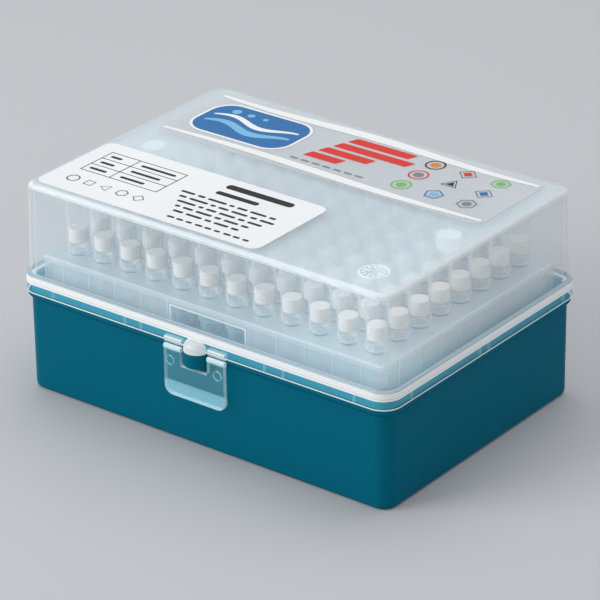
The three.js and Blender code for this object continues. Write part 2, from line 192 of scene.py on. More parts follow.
def rounded_plate(bm, low, high, corner, height):
    """A flat face with rounded corners, between two corners in plan."""
    verts = bmesh.ops.create_grid(bm, x_segments=1, y_segments=1, size=0.5)["verts"]
    bmesh.ops.scale(bm, verts=verts, vec=(high[0] - low[0], high[1] - low[1], 1))
    bmesh.ops.translate(bm, verts=verts, vec=((low[0] + high[0]) / 2, (low[1] + high[1]) / 2, height))
    rounded = round_corners(bm, verts, corner, CORNER_FACES)
    return rounded[0].link_faces[0]


def moulded_shell(bm, profile):
    """Carries the box's rounded outline along a profile of (inset, height), closed at both ends."""
    inset, height = profile[0]
    reach = (half_length - inset, half_width - inset)
    start = rounded_plate(bm, (-reach[0], -reach[1]), reach, FLANGE_CORNER - inset, height)
    edges = list(start.edges)
    for next_inset, height in profile[1:]:
        verts = new_verts(bmesh.ops.extrude_edge_only(bm, edges=edges))
        edges = edges_between(verts)
        for vert in verts:
            middle = Vector((
                math.copysign(half_length - FLANGE_CORNER, vert.co.x),
                math.copysign(half_width - FLANGE_CORNER, vert.co.y),
            ))
            ratio = (FLANGE_CORNER - next_inset) / (FLANGE_CORNER - inset)
            vert.co.xy = middle + (vert.co.xy - middle) * ratio
            vert.co.z = height
        inset = next_inset
    bmesh.ops.contextual_create(bm, geom=edges)


def thicken(bm, faces, way):
    """Draws flat faces out into a solid: the vertices of its far side."""
    far = new_verts(bmesh.ops.extrude_face_region(bm, geom=faces))
    bmesh.ops.translate(bm, verts=far, vec=way)
    return far


def solid_box(bm, low, high, rounding=0.0, segments=2):
    """A box between two corners, with all its edges rounded."""
    verts = bmesh.ops.create_cube(bm, size=1)["verts"]
    low, high = Vector(low), Vector(high)
    bmesh.ops.scale(bm, verts=verts, vec=high - low)
    bmesh.ops.translate(bm, verts=verts, vec=(low + high) / 2)
    if rounding:
        round_edges(bm, edges_between(verts), rounding, segments)


def rib_rows(bm, axis, places, thickness, inner, outer, heights, rounding=0.0):
    """Upright ribs at places along an axis (0 for X, 1 for Y), on both sides of the box."""
    for side in (-1, 1):
        for place in places:
            low, high = [0, 0, heights[0]], [0, 0, heights[1]]
            low[axis], high[axis] = place - thickness / 2, place + thickness / 2
            low[1 - axis], high[1 - axis] = sorted((side * inner, side * outer))
            solid_box(bm, low, high, rounding)


def bar_along_x(bm, section, middle, width, rounding=0.0):
    """A bar along X with a cross-section of (y, z) points and rounded ends."""
    near = [bm.verts.new((middle - width / 2, y, z)) for y, z in section]
    far = thicken(bm, [bm.faces.new(near)], (width, 0, 0))
    if rounding:
        round_edges(bm, edges_between(near) + edges_between(far), rounding)


def finished(bm, name, materials, body, replaced=()):
    """Turns a bmesh into a piece that rides on a body, with its large faces shaded flat."""
    bmesh.ops.recalc_face_normals(bm, faces=bm.faces)
    mesh = bpy.data.meshes.new(name)
    bm.to_mesh(mesh)
    bm.free()
    for material in materials:
        mesh.materials.append(material)
    mesh.shade_smooth()
    mesh.set_sharp_from_angle(angle=math.radians(SHARP_ANGLE))
    piece = link(bpy.data.objects.new(name, mesh))
    piece.modifiers.new("flat faces", "WEIGHTED_NORMAL").keep_sharp = True
    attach(piece, body)
    if replaced:
        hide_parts(*replaced)


def calculate(tree, operation, *values, clamp=False):
    """A Math node on numbers or sockets: its output."""
    node = tree.nodes.new("ShaderNodeMath")
    node.operation = operation
    node.use_clamp = clamp
    for socket, value in zip(node.inputs, values):
        if isinstance(value, bpy.types.NodeSocket):
            tree.links.new(value, socket)
        else:
            socket.default_value = value
    return node.outputs[0]


def new_group(name, inputs, outputs):
    """An empty node group: the group, its inputs and its outputs."""
    group = bpy.data.node_groups.new(name, "ShaderNodeTree")
    for label, value in inputs.items():
        socket = group.interface.new_socket(label, in_out="INPUT", socket_type="NodeSocketFloat")
        socket.default_value = value
    for label in outputs:
        group.interface.new_socket(label, in_out="OUTPUT", socket_type="NodeSocketFloat")
    return group, group.nodes.new("NodeGroupInput").outputs, group.nodes.new("NodeGroupOutput").inputs


def place_group(tree, group, **values):
    """Places a node group in a material with its own values: the group's outputs."""
    node = tree.nodes.new("ShaderNodeGroup")
    node.node_tree = group
    for label, value in values.items():
        node.inputs[label].default_value = value
    return node.outputs


def mixed_colour(tree, factor, first, second):
    """A Mix node on two colours, either of which may be a socket: its output."""
    mix = tree.nodes.new("ShaderNodeMix")
    mix.data_type = "RGBA"
    tree.links.new(factor, mix.inputs["Factor"])
    for socket, colour in ((mix.inputs["A"], first), (mix.inputs["B"], second)):
        if isinstance(colour, bpy.types.NodeSocket):
            tree.links.new(colour, socket)
        else:
            socket.default_value = colour
    return mix.outputs["Result"]


moulded_grain, given, result = new_group(
    "moulded grain", {"Scale": 900, "Smooth": 0.3, "Rough": 0.4}, ["Height", "Roughness", "Patches"]
)
place = moulded_grain.nodes.new("ShaderNodeTexCoord")
fine = moulded_grain.nodes.new("ShaderNodeTexNoise")
slow = moulded_grain.nodes.new("ShaderNodeTexNoise")
spread = moulded_grain.nodes.new("ShaderNodeMapRange")
fine.inputs["Detail"].default_value = 3
slow.inputs["Scale"].default_value = 45
spread.inputs["From Min"].default_value = 0.35
spread.inputs["From Max"].default_value = 0.65
for source, target in (
    (place.outputs["Object"], fine.inputs["Vector"]),
    (place.outputs["Object"], slow.inputs["Vector"]),
    (given["Scale"], fine.inputs["Scale"]),
    (slow.outputs["Fac"], spread.inputs["Value"]),
    (given["Smooth"], spread.inputs["To Min"]),
    (given["Rough"], spread.inputs["To Max"]),
    (fine.outputs["Fac"], result["Height"]),
    (spread.outputs["Result"], result["Roughness"]),
    (slow.outputs["Fac"], result["Patches"]),
):
    moulded_grain.links.new(source, target)


def add_grain(tree, shader, scale, smooth, rough, relief):
    """Gives a shader the fine grain of a mould: the group's outputs."""
    grain = place_group(tree, moulded_grain, Scale=scale, Smooth=smooth, Rough=rough)
    bump = tree.nodes.new("ShaderNodeBump")
    bump.inputs["Strength"].default_value = relief
    bump.inputs["Distance"].default_value = 0.05 * MM
    tree.links.new(grain["Height"], bump.inputs["Height"])
    tree.links.new(bump.outputs["Normal"], shader.inputs["Normal"])
    tree.links.new(grain["Roughness"], shader.inputs["Roughness"])
    return grain


height_band, given, result = new_group("height band", {"Low": 0, "High": 1, "Soft": 0.0002}, ["Mask"])
place = height_band.nodes.new("ShaderNodeTexCoord")
parts = height_band.nodes.new("ShaderNodeSeparateXYZ")
height_band.links.new(place.outputs["Object"], parts.inputs[0])
above = calculate(height_band, "SUBTRACT", parts.outputs["Z"], given["Low"])
below = calculate(height_band, "SUBTRACT", given["High"], parts.outputs["Z"])
above = calculate(height_band, "DIVIDE", above, given["Soft"], clamp=True)
below = calculate(height_band, "DIVIDE", below, given["Soft"], clamp=True)
height_band.links.new(calculate(height_band, "MULTIPLY", above, below), result["Mask"])


def band_mask(tree, low, high, soft=SOFT):
    """A mask between two heights, with soft ends."""
    return place_group(tree, height_band, Low=low, High=high, Soft=soft)["Mask"]


TEAL = (0.0, 0.127, 0.2, 1)
# a lighter teal for the rim under the clear flange: painted light shining through the flange
TEAL_PAINTED_LIGHT = (0.01, 0.32, 0.45, 1)
# a brighter teal for the tray's inner faces: painted light, since little lamp light reaches them
TEAL_PAINTED_LIT_INSIDE = (0.005, 0.48, 0.66, 1)

teal_plastic, tree, shader = new_material("teal polypropylene")
add_grain(tree, shader, 1400, 0.4, 0.5, 0.12)
shader.inputs["Specular IOR Level"].default_value = 0.04
# the rim under the clear flange is painted the lighter teal, as painted light
rim_light = band_mask(tree, ledge_top, rim_top + CLEARANCE, 0.4 * MM)
tree.links.new(mixed_colour(tree, rim_light, TEAL, TEAL_PAINTED_LIGHT), shader.inputs["Base Color"])

# the inner faces' brighter teal is painted light
teal_painted_lit_inside, tree, shader = new_material("teal polypropylene, lit from outside")
add_grain(tree, shader, 1400, 0.4, 0.5, 0.12)
shader.inputs["Base Color"].default_value = TEAL_PAINTED_LIT_INSIDE
shader.inputs["Specular IOR Level"].default_value = 0.06

TRAY_STEP = 1.4 * MM
TRAY_WALL = 1.6 * MM
TRAY_FLOOR = 2 * MM
TRAY_EDGE = 1.4 * MM
LEDGE_INSET = 0.45 * MM
LEDGE_HEIGHT = 0.9 * MM
LEDGE_TAPER = 1.1 * MM
LIP = 0.25 * MM

ledge_side = ledge_top - LEDGE_HEIGHT
inner_face = TRAY_STEP + TRAY_WALL
bm = bmesh.new()
moulded_shell(
    bm,
    arc((TRAY_STEP + TRAY_EDGE, TRAY_EDGE), TRAY_EDGE, 270, 180)
    + [(TRAY_STEP, ledge_side - LEDGE_TAPER), (LEDGE_INSET, ledge_side)]
    + arc((LEDGE_INSET + LIP, ledge_top - LIP), LIP, 180, 90, 3)
    + [(TRAY_STEP, ledge_top)]
    + arc((TRAY_STEP + LIP, rim_top - LIP), LIP, 180, 90, 3)
    + arc((inner_face - LIP, rim_top - LIP), LIP, 90, 0, 3)
    + arc((inner_face + LIP, TRAY_FLOOR + LIP), LIP, 180, 270, 3),
)
# the faces inside the walls and above the floor take the brighter teal of painted light
for face in bm.faces:
    middle = face.calc_center_median()
    inside_x = abs(middle.x) < half_length - inner_face + LIP
    inside_y = abs(middle.y) < half_width - inner_face + LIP
    face.material_index = int(inside_x and inside_y and middle.z > TRAY_FLOOR / 2)

SUPPORT = 2 * MM
SUPPORT_OVERLAP = 1.1 * MM
SUPPORT_EDGE = 0.2 * MM
PITCH = 9 * MM
SUPPORTS_X = (-5 * PITCH, 0, 5 * PITCH)
SUPPORTS_Y = (-2.5 * PITCH, 2.5 * PITCH)
RACK_HEIGHT = 16 * MM
TIP_REACH = 16.3 * MM  # from the deck to the tips' mouths

deck_top = rack_high.z - TIP_REACH
support_top = deck_top - RACK_HEIGHT - CLEARANCE
wall_x = half_length - TRAY_STEP - TRAY_WALL / 2
wall_y = half_width - TRAY_STEP - TRAY_WALL / 2
rack_x = rack_high.x - SUPPORT_OVERLAP
rack_y = rack_high.y - SUPPORT_OVERLAP
heights = (TRAY_FLOOR / 2, support_top)
rib_rows(bm, 0, SUPPORTS_X, SUPPORT, rack_y, wall_y, heights, SUPPORT_EDGE)
rib_rows(bm, 1, SUPPORTS_Y, SUPPORT, rack_x, wall_x, heights, SUPPORT_EDGE)

KNOB_HALF_WIDTH = 3.5 * MM
KNOB_REACH = 3.2 * MM
KNOB_HEIGHT = 3.9 * MM
KNOB_EDGE = 0.5 * MM
KNOB_BACK = 0.3  # how deep its back half is, as a share of its front half
KNOB_SIDES = 48

bottom = bmesh.ops.create_circle(bm, cap_ends=True, segments=KNOB_SIDES, radius=1)["verts"]
top = thicken(bm, list(bottom[0].link_faces), (0, 0, KNOB_HEIGHT))
for vert in bottom + top:
    vert.co.x *= KNOB_HALF_WIDTH
    vert.co.y *= KNOB_REACH * (KNOB_BACK if vert.co.y > 0 else 1)
bmesh.ops.translate(bm, verts=bottom + top, vec=(0, -half_width, ledge_top - KNOB_HEIGHT))
round_edges(bm, edges_between(bottom) + edges_between(top), KNOB_EDGE, 4)

HINGE_X = 33 * MM
CLIP_WIDTH = 7 * MM
HINGE_LUG = 2.4 * MM
KNUCKLE = 1.9 * MM
PIN = 1 * MM
HINGE_EDGE = 0.15 * MM

hinges = {joint["name"]: joint["pos_m"] for joint in frame["joints"]}
hinge_y, hinge_z = hinges["lid_hinge"][1:]
lug_step = (CLIP_WIDTH + HINGE_LUG) / 2 + CLEARANCE
lug_section = (
    [(wall_y, hinge_z - 2 * KNUCKLE)]
    + arc((hinge_y, hinge_z), KNUCKLE, -90, 90, 12)
    + [(hinge_y - PIN, hinge_z + KNUCKLE), (half_width, ledge_top), (wall_y, ledge_top)]
)
for x in (-HINGE_X, HINGE_X):
    bar_along_x(bm, lug_section, x - lug_step, HINGE_LUG, HINGE_EDGE)
    bar_along_x(bm, lug_section, x + lug_step, HINGE_LUG, HINGE_EDGE)
    bar_along_x(bm, circle((hinge_y, hinge_z), PIN), x, 2 * lug_step)

finished(bm, "teal_tray", [teal_plastic, teal_painted_lit_inside], "tray_body", ["tray"])

# ---- Rack ----
# One milky polypropylene moulding that stands on the tray's ribs: a deck with a hole for each
# tip, a short socket under every hole, and a skirt with ribs and a window in each long side.

COLUMNS = 12
ROWS = 8
DECK = 1.6 * MM
RACK_WALL = 1.4 * MM
RACK_EDGE = 0.8 * MM
HOLE = 2.75 * MM
SOCKET = 3.45 * MM
SOCKET_HEIGHT = 8 * MM
SOCKET_FOOT = 3 * MM
SOCKET_TAPER = 0.7 * MM
RACK_RIB = 0.9 * MM
WINDOW_WIDTH = 25.2 * MM
WINDOW_HEIGHT = 9.5 * MM
WINDOW_DROP = 2.2 * MM
WINDOW_HIGHLIGHT_WIDTH = 0.45 * MM
FLOW_LINE = 0.16 * MM
SINK = 0.1 * MM  # how far a joined form reaches into the next
ROUND_SIDES = 20
WINDOW_EDGE_HIGHLIGHT, RIDGES, SOCKETS = 1, 2, 3  # the finishes beside the rack's own

columns_x = [(column - (COLUMNS - 1) / 2) * PITCH for column in range(COLUMNS)]
rows_y = [((ROWS - 1) / 2 - row) * PITCH for row in range(ROWS)]
places = [(row, column, x, y) for row, y in enumerate(rows_y) for column, x in enumerate(columns_x)]
beside_window = [x for x in columns_x if abs(x) > WINDOW_WIDTH / 2]


def turned(profile, sides):
    """A mesh turned about the Z axis from a closed profile, or one that ends on the axis."""
    bm = bmesh.new()
    verts = [bm.verts.new((radius, 0, height)) for radius, height in profile]
    ends_on_axis = profile[0][0] == 0
    following = verts[1:] if ends_on_axis else verts[1:] + verts[:1]
    edges = [bm.edges.new(pair) for pair in zip(verts, following)]
    bmesh.ops.spin(bm, geom=verts + edges, cent=(0, 0, 0), axis=(0, 0, 1), angle=2 * math.pi,
                   steps=sides, use_merge=True, use_duplicate=False)
    bmesh.ops.remove_doubles(bm, verts=bm.verts, dist=0.001 * MM)
    mesh = bpy.data.meshes.new("turned")
    bm.to_mesh(mesh)
    bm.free()
    return mesh


def newer_verts(bm, before):
    """The vertices that have been added since."""
    return [vert for vert in bm.verts if vert not in before]


def set_down(bm, mesh, place):
    """Adds a copy of a mesh at a place."""
    before = set(bm.verts)
    bm.from_mesh(mesh)
    bmesh.ops.translate(bm, verts=newer_verts(bm, before), vec=place)


def newer_faces(bm, older, finish):
    """Gives a finish to the faces that have been added since, and returns all the faces."""
    for face in bm.faces:
        if face not in older:
            face.material_index = finish
    return set(bm.faces)


def cut_away(bm, tools):
    """Cuts the solids in one bmesh out of another."""
    holders = []
    for part in (bm, tools):
        bmesh.ops.recalc_face_normals(part, faces=part.faces)
        mesh = bpy.data.meshes.new("cut")
        part.to_mesh(mesh)
        part.free()
        holders.append(link(bpy.data.objects.new("cut", mesh)))
    cutter = holders[0].modifiers.new("cut", "BOOLEAN")
    cutter.operation = "DIFFERENCE"
    cutter.solver = "EXACT"
    cutter.object = holders[1]
    bpy.context.view_layer.update()
    result = bmesh.new()
    result.from_object(holders[0], bpy.context.evaluated_depsgraph_get())
    for holder in holders:
        bpy.data.objects.remove(holder)
    return result


deck_low = deck_top - DECK
skirt_low = deck_top - RACK_HEIGHT
inner_x, inner_y = rack_high.x - RACK_WALL, rack_high.y - RACK_WALL
bm = bmesh.new()
low, high = (-rack_high.x, -rack_high.y, skirt_low), (rack_high.x, rack_high.y, deck_top)
solid_box(bm, low, high, RACK_EDGE, 4)
tools = bmesh.new()
solid_box(tools, (-inner_x, -inner_y, skirt_low - DECK), (inner_x, inner_y, deck_low), RACK_EDGE)
bm = cut_away(bm, tools)

window_top = deck_top - WINDOW_DROP
window_low = window_top - WINDOW_HEIGHT
tools = bmesh.new()
for row, column, x, y in places:
    hole = bmesh.ops.create_cone(
        tools, cap_ends=True, segments=ROUND_SIDES, radius1=HOLE, radius2=HOLE, depth=3 * DECK
    )
    bmesh.ops.translate(tools, verts=hole["verts"], vec=(x, y, deck_top - DECK / 2))
for side in (-1, 1):
    near, far = sorted((side * (inner_y - RACK_WALL), side * (rack_high.y + RACK_WALL)))
    solid_box(tools, (-WINDOW_WIDTH / 2, near, window_low), (WINDOW_WIDTH / 2, far, window_top))
bm = cut_away(bm, tools)
older = set(bm.faces)
# White strips along each window's edges: a painted highlight on the skirt's cut edges
frame_low, frame_high = -WINDOW_WIDTH / 2 - SINK, WINDOW_WIDTH / 2 + SINK
for side in (-1, 1):
    near, far = sorted((side * (rack_high.y - SINK), side * (rack_high.y + FLOW_LINE / 2)))
    for left, low, right, high in (
        (frame_low, window_low, frame_low + WINDOW_HIGHLIGHT_WIDTH, window_top + SINK),
        (frame_high - WINDOW_HIGHLIGHT_WIDTH, window_low, frame_high, window_top + SINK),
        (frame_low, window_top + SINK - WINDOW_HIGHLIGHT_WIDTH, frame_high, window_top + SINK),
    ):
        solid_box(bm, (left, near, low), (right, far, high))
older = newer_faces(bm, older, WINDOW_EDGE_HIGHLIGHT)
heights = (skirt_low + RACK_EDGE, deck_top - RACK_EDGE)
rib_rows(bm, 0, beside_window, 2 * FLOW_LINE, rack_high.y - SINK, rack_high.y + FLOW_LINE / 2, heights)
rib_rows(bm, 1, rows_y, 2 * FLOW_LINE, rack_high.x - SINK, rack_high.x + FLOW_LINE / 2, heights)
older = newer_faces(bm, older, RIDGES)

socket_low = deck_low - SOCKET_HEIGHT
socket_high = deck_low + SINK
socket_step = socket_low + SOCKET_FOOT
socket = turned([
    (SOCKET - SOCKET_TAPER, socket_low), (SOCKET - SOCKET_TAPER, socket_step), (SOCKET, socket_step + SINK),
    (SOCKET, socket_high), (HOLE, socket_high), (HOLE, socket_step), (HOLE - SOCKET_TAPER, socket_low),
], ROUND_SIDES)
for row, column, x, y in places:
    set_down(bm, socket, (x, y, 0))
heights = (socket_low, socket_high)
rib_rows(bm, 0, beside_window, RACK_RIB, rows_y[0] + SOCKET - SINK, inner_y + SINK, heights)
rib_rows(bm, 1, rows_y, RACK_RIB, columns_x[-1] + SOCKET - SINK, inner_x + SINK, heights)
newer_faces(bm, older, SOCKETS)

# Masks by the way a face turns, for painting highlights: Rim on rounded edges, Corner on upright corners,
# Sideways on faces turned along X, Upward on faces turned up or down.
painted_highlight_masks, given, result = new_group(
    "masks for painted highlights", {"Gain": 4}, ["Rim", "Corner", "Sideways", "Upward"]
)
place = painted_highlight_masks.nodes.new("ShaderNodeTexCoord")
parts = painted_highlight_masks.nodes.new("ShaderNodeSeparateXYZ")
painted_highlight_masks.links.new(place.outputs["Normal"], parts.inputs[0])
along_x, along_y, along_z = [calculate(painted_highlight_masks, "ABSOLUTE", axis) for axis in parts.outputs]
squares = [calculate(painted_highlight_masks, "MULTIPLY", axis, axis) for axis in (along_x, along_y)]
level = calculate(painted_highlight_masks, "SQRT", calculate(painted_highlight_masks, "ADD", *squares))
rim = calculate(painted_highlight_masks, "SUBTRACT", 1, calculate(painted_highlight_masks, "MAXIMUM", level, along_z))
corner = calculate(painted_highlight_masks, "SUBTRACT", level, calculate(painted_highlight_masks, "MAXIMUM", along_x, along_y))
for value, label in ((rim, "Rim"), (corner, "Corner")):
    gained = calculate(painted_highlight_masks, "MULTIPLY", value, given["Gain"], clamp=True)
    painted_highlight_masks.links.new(gained, result[label])
painted_highlight_masks.links.new(squares[0], result["Sideways"])
painted_highlight_masks.links.new(calculate(painted_highlight_masks, "MULTIPLY", along_z, along_z), result["Upward"])


def add_haze(tree, shader, haze, white, straight, glancing, lit, shade):
    """A clear or milky plastic: its two colours, and how solid it looks face on and at a glance.

    lit holds (mask, amount) pairs where it is made more solid and whiter, mostly as painted
    highlights; a negative amount takes haze away. shade is the share of the haze that lamps see,
    since it scatters most of their light on to what is behind it.
    """
    facing = tree.nodes.new("ShaderNodeLayerWeight")
    facing.inputs["Blend"].default_value = 0.5
    slanted = calculate(tree, "POWER", facing.outputs["Facing"], 3)
    solid = calculate(tree, "MULTIPLY_ADD", slanted, glancing, straight)
    if lit:
        gathered = 0
        for mask, amount in lit:
            gathered = calculate(tree, "MULTIPLY_ADD", mask, amount, gathered)
        solid = calculate(tree, "ADD", solid, gathered, clamp=True)
        colour = mixed_colour(tree, calculate(tree, "MINIMUM", gathered, 1), haze, white)
        tree.links.new(colour, shader.inputs["Base Color"])
    else:
        shader.inputs["Base Color"].default_value = haze
    lamp_sees = tree.nodes.new("ShaderNodeLightPath").outputs["Is Shadow Ray"]
    dimmed = calculate(tree, "MULTIPLY_ADD", lamp_sees, shade - 1, 1)
    tree.links.new(calculate(tree, "MULTIPLY", solid, dimmed, clamp=True), shader.inputs["Alpha"])


RACK_HAZE = (0.7, 0.8, 0.85, 1)
RACK_WHITE = (0.9, 0.95, 0.96, 1)

milky_plastic, tree, shader = new_material("milky polypropylene")
add_grain(tree, shader, 1200, 0.35, 0.5, 0.1)
# the thick deck is made more solid and painted whiter, and the Rim and Corner masks paint highlights on
# rounded edges and corners
deck_band = band_mask(tree, deck_low - SINK, deck_top + SINK, 0.2 * MM)
edges = place_group(tree, painted_highlight_masks)
lit = [(deck_band, 0.2), (edges["Rim"], 0.18), (edges["Corner"], 0.15)]
# the rack's ends, the faces turned along X, are painted whiter: painted light
haze = mixed_colour(tree, edges["Sideways"], RACK_HAZE, RACK_WHITE)
add_haze(tree, shader, haze, RACK_WHITE, 0.36, 0.3, lit, shade=0.06)

# the sockets' haze is tinted teal: painted teal light from the tray below them
SOCKET_PAINTED_TEAL = (0.45, 0.76, 0.88, 1)
finishes = [milky_plastic]
for name, colour, straight in (
    ("window edge highlight", RACK_WHITE, 0.75), ("ridges", RACK_WHITE, 0.35), ("sockets", SOCKET_PAINTED_TEAL, 0.3),
):
    milky_ridge, tree, shader = new_material("milky polypropylene, " + name)
    add_grain(tree, shader, 1200, 0.35, 0.5, 0.1)
    add_haze(tree, shader, colour, RACK_WHITE, straight, 0.3, [], shade=0.05)
    finishes.append(milky_ridge)
finished(bm, "tip_rack", finishes, "tray_body", ["rack"])

# ---- Tips ----
# Natural polypropylene tips, turned about their own axes: a flared mouth with a rim, a ribbed
# collar that rests in the deck's hole, and a long taper to a fine point.

TIP_OUTSIDE = (  # the radius and the height above the seat, in millimetres
    (0.45, -35), (1.2, -22), (1.75, -11), (2.42, 0), (2.7, 0.2), (2.9, 0.7), (3.0, 1.4),
    (3.02, 7.0), (3.1, 7.6), (3.4, 14.9), (3.55, 15.1), (3.55, 15.85), (3.45, 16),
)
TIP_INSIDE = ((3.1, 16), (2.98, 15.8), (2.72, 7.6), (2.64, 6.9), (2.64, 1.4), (1.9, 0.3), (0.25, -35))
TIP_RIBS = 12
TIP_RIB = (0.32 * MM, 0.26 * MM, 1.9 * MM)
TIP_RIB_RADIUS = 2.92 * MM
TIP_RIB_LOW = 0.9 * MM

tip_seat = deck_top + CLEARANCE
bm = bmesh.new()
tip_mesh = turned([(radius * MM, height * MM) for radius, height in TIP_OUTSIDE + TIP_INSIDE], ROUND_SIDES)
bm.from_mesh(tip_mesh)
for i in range(TIP_RIBS):
    before = set(bm.verts)
    low = Vector((TIP_RIB_RADIUS, -TIP_RIB[1] / 2, TIP_RIB_LOW))
    solid_box(bm, low, low + Vector(TIP_RIB))
    turn = Matrix.Rotation(2 * math.pi * (i + 0.5) / TIP_RIBS, 3, "Z")
    bmesh.ops.rotate(bm, verts=newer_verts(bm, before), matrix=turn)
bm.to_mesh(tip_mesh)
bm.free()

TIP_HAZE = (0.8, 0.89, 0.94, 1)
TIP_WHITE = (0.95, 0.97, 0.98, 1)

tip_plastic, tree, shader = new_material("natural polypropylene")
add_grain(tree, shader, 1500, 0.15, 0.25, 0.04)
collar = band_mask(tree, tip_seat - SINK, tip_seat + 3 * MM, 1.5 * MM)
foot = band_mask(tree, tip_seat - SINK, tip_seat + MM, 0.3 * MM)
edges = place_group(tree, painted_highlight_masks)
below = band_mask(tree, -1, deck_low, 0.5 * MM)
# Rim paints highlights on the tips' rounded edges
lit = [(collar, 0.2), (foot, 0.45), (edges["Rim"], 0.3), (below, -0.15)]
add_haze(tree, shader, TIP_HAZE, TIP_WHITE, 0.09, 0.75, lit, shade=0.04)

row_letters = "ABCDEFGH"
inner_tips = bmesh.new()
for row, column, x, y in places:
    if row in (0, ROWS - 1) or column in (0, COLUMNS - 1):
        bm = bmesh.new()
        set_down(bm, tip_mesh, (x, y, tip_seat))
        name = f"{row_letters[row]}{column + 1}"
        finished(bm, f"fine_tip_{name}", [tip_plastic], "tray_body", [f"tip_{name}"])
    else:
        set_down(inner_tips, tip_mesh, (x, y, tip_seat))
finished(inner_tips, "inner_tips", [tip_plastic], "tray_body")

# ---- Filters ----
# White sintered plugs pressed into the tips, a little rough and warm in colour, with the
# shallow rings that the press leaves round them.

FILTER_BOTTOM = 3.2  # above the seat, and in millimetres like the sizes that follow
FILTER_TOP = 7.2
FILTER_RADIUS = 2.6
FILTER_EDGE = 0.15
FILTER_RINGS = (4.2, 4.9, 5.6, 6.3)
RING_DEPTH = 0.13
FILTER_SIDES = 24

narrow = FILTER_RADIUS - FILTER_EDGE
profile = [(0, FILTER_BOTTOM), (narrow, FILTER_BOTTOM), (FILTER_RADIUS, FILTER_BOTTOM + FILTER_EDGE)]
for ring in FILTER_RINGS:
    profile.append((FILTER_RADIUS, ring - FILTER_EDGE))
    profile.append((FILTER_RADIUS - RING_DEPTH, ring))
    profile.append((FILTER_RADIUS, ring + FILTER_EDGE))
profile += [(FILTER_RADIUS, FILTER_TOP - FILTER_EDGE), (narrow, FILTER_TOP), (0, FILTER_TOP)]
plug = turned([(radius * MM, height * MM) for radius, height in profile], FILTER_SIDES)
bm = bmesh.new()
for row, column, x, y in places:
    set_down(bm, plug, (x, y, tip_seat))

FILTER_WHITE = (0.94, 0.9, 0.86, 1)
FILTER_SHADE = (0.9, 0.86, 0.82, 1)

sintered_white, tree, shader = new_material("sintered filter")
grain = add_grain(tree, shader, 2500, 0.7, 0.9, 0.4)
tree.links.new(mixed_colour(tree, grain["Patches"], FILTER_WHITE, FILTER_SHADE), shader.inputs["Base Color"])
finished(bm, "filters", [sintered_white], "tray_body")

# ---- Lid ----
# One clear, slightly milky polypropylene moulding: a flange that drops over the tray's rim, a
# drafted wall, a rounded roof, hold-down posts, a dome over the knob, beads for the latch, and
# open clips round the hinge pins. Its rounded edges, its ends and bands on its flange are
# painted white as painted highlights, its flange is tinted with painted teal light, and its
# shoulder carries a painted reflection of the rack.

LID_STEP = 1.1 * MM
LID_DRAFT = 0.6 * MM
LID_WALL = 1.4 * MM
LID_ROOF = 1.5 * MM
LID_EDGE = 2 * MM
LID_INNER_EDGE = 1.3 * MM
LID_FOOT = 0.3 * MM
SKIRT = 1.1 * MM
SHOULDER = 0.9 * MM
FLANGE_EDGE = 0.7 * MM
CEILING_STEP = 0.25 * MM

roof = lid_high.z
ceiling = roof - LID_ROOF
skirt_ceiling = flange_top - SHOULDER
outer_edge = LID_STEP + LID_DRAFT + LID_EDGE
inner_edge = LID_STEP + LID_DRAFT + LID_WALL + LID_INNER_EDGE
bm = bmesh.new()
moulded_shell(
    bm,
    arc((outer_edge, roof - LID_EDGE), LID_EDGE, 90, 180, 8)
    + arc((LID_STEP - LID_FOOT, flange_top + LID_FOOT), LID_FOOT, 0, -90, 3)
    + arc((FLANGE_EDGE, flange_top - FLANGE_EDGE), FLANGE_EDGE, 90, 180)
    + arc((LIP, flange_bottom + LIP), LIP, 180, 270, 3)
    + arc((SKIRT - LIP, flange_bottom + LIP), LIP, 270, 360, 3)
    + [(SKIRT, skirt_ceiling), (LID_STEP + LID_WALL, skirt_ceiling)]
    + arc((inner_edge, ceiling - LID_INNER_EDGE), LID_INNER_EDGE, 180, 90, 6)
    + [(inner_edge + CEILING_STEP, ceiling + CEILING_STEP)],
)

SNAP_RIB = 0.2 * MM
SNAP_RIB_HEIGHT = 2.6 * MM
SNAP_RIBS_X = [x * MM for x in (-49.5, -24.5, -19, 22, 28, 50.5)]
SNAP_RIBS_Y = [y * MM for y in (-32.7, -3, 1, 35.6)]
THICK, RAISED = 1, 2  # the finishes beside the lid's own

older = set(bm.faces)
heights = (flange_bottom + LIP, flange_bottom + LIP + SNAP_RIB_HEIGHT)
rib_rows(bm, 0, SNAP_RIBS_X, SNAP_RIB, half_width - SKIRT + SINK, half_width - SINK, heights)
rib_rows(bm, 1, SNAP_RIBS_Y, SNAP_RIB, half_length - SKIRT + SINK, half_length - SINK, heights)
older = newer_faces(bm, older, THICK)

POST = 3.3 * MM
POST_X = 49 * MM
POST_SIDES = 32
TIP_RISE = 16 * MM

post_low = tip_seat + TIP_RISE + CLEARANCE
post_height = ceiling + SINK - post_low
post_side = [(0, 0), (POST - LIP, 0), (POST, LIP), (POST, post_height), (0, post_height)]
post = turned(post_side, POST_SIDES)
for x in (-POST_X, POST_X):
    set_down(bm, post, (x, 0, post_low))

DIAL = (48.5 * MM, -31.5 * MM)
DIAL_RADIUS = 4 * MM
DIAL_LINE = 0.35 * MM
DIAL_RELIEF = 0.15 * MM
DIAL_SIDES = 48
DIAL_TICKS = 12
TICK_LENGTH = 1 * MM
TICK_GAP = 0.5 * MM

